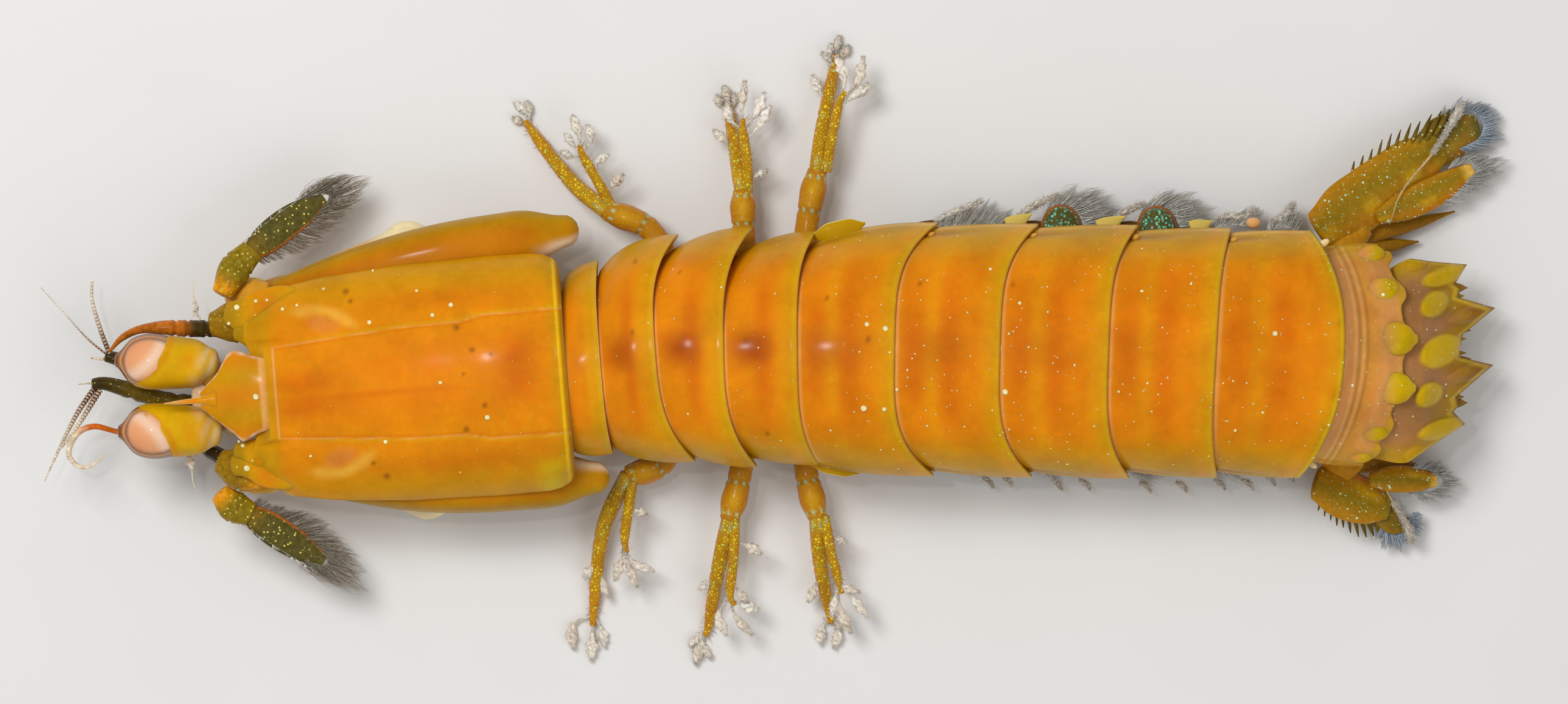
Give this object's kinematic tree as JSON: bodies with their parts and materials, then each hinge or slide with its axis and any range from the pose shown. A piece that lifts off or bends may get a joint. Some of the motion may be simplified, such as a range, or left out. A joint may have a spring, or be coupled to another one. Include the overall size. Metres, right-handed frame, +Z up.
{
  "type": "mantis shrimp model",
  "caption": "Still life-size mantis shrimp, smashing kind: jointed shell, folded raptorial limbs, stalked eyes, tufted legs and a spread tail fan.",
  "frame": {"origin": "on the floor, under the middle of the animal's box", "axes": "+X from head to tail along the body, +Y to the animal's right, +Z up"},
  "size_m": [0.0732, 0.0312, 0.0091],
  "materials": {
    "shell": "waxy, half gloss orange shell with olive-yellow margins",
    "shell_yellow": "waxy yellow-orange shell",
    "tail_shell": "mauve-salmon shell with yellow bosses",
    "limb": "golden, slightly translucent limbs with teal glints and white fringes",
    "feeler": "dark olive with gold dots",
    "cornea": "smooth peach-pink, brown towards the tip"
  },
  "bodies": {
    "root": {"carapace": "shell", "rostral_plate": "shell_yellow", "head": "shell_yellow", "telson": "tail_shell", "thoracic_somite_5": "shell", "thoracic_somite_6": "shell", "thoracic_somite_7": "shell", "thoracic_somite_8": "shell", "abdominal_somite_1": "shell", "abdominal_somite_2": "shell", "abdominal_somite_3": "shell", "abdominal_somite_4": "shell", "abdominal_somite_5": "shell", "abdominal_somite_6": "tail_shell", "eyestalk_r": "shell_yellow", "cornea_r": "cornea", "antennule_r": "feeler", "antenna_r": "feeler", "antennal_scale_r": "feeler", "raptorial_merus_r": "shell_yellow", "raptorial_carpus_r": "shell_yellow", "raptorial_propodus_r": "shell_yellow", "raptorial_dactylus_r": "shell_yellow", "maxilliped_3_r": "limb", "maxilliped_4_r": "limb", "maxilliped_5_r": "limb", "walking_leg_1_r": "limb", "walking_leg_2_r": "limb", "walking_leg_3_r": "limb", "pleopod_1_r": "limb", "pleopod_2_r": "limb", "pleopod_3_r": "limb", "pleopod_4_r": "limb", "pleopod_5_r": "limb", "uropod_protopod_r": "limb", "uropod_exopod_r": "limb", "uropod_endopod_r": "limb", "eyestalk_l": "shell_yellow", "cornea_l": "cornea", "antennule_l": "feeler", "antenna_l": "feeler", "antennal_scale_l": "feeler", "raptorial_merus_l": "shell_yellow", "raptorial_carpus_l": "shell_yellow", "raptorial_propodus_l": "shell_yellow", "raptorial_dactylus_l": "shell_yellow", "maxilliped_3_l": "limb", "maxilliped_4_l": "limb", "maxilliped_5_l": "limb", "walking_leg_1_l": "limb", "walking_leg_2_l": "limb", "walking_leg_3_l": "limb", "pleopod_1_l": "limb", "pleopod_2_l": "limb", "pleopod_3_l": "limb", "pleopod_4_l": "limb", "pleopod_5_l": "limb", "uropod_protopod_l": "limb", "uropod_exopod_l": "limb", "uropod_endopod_l": "limb"}
  },
  "joints": []
}
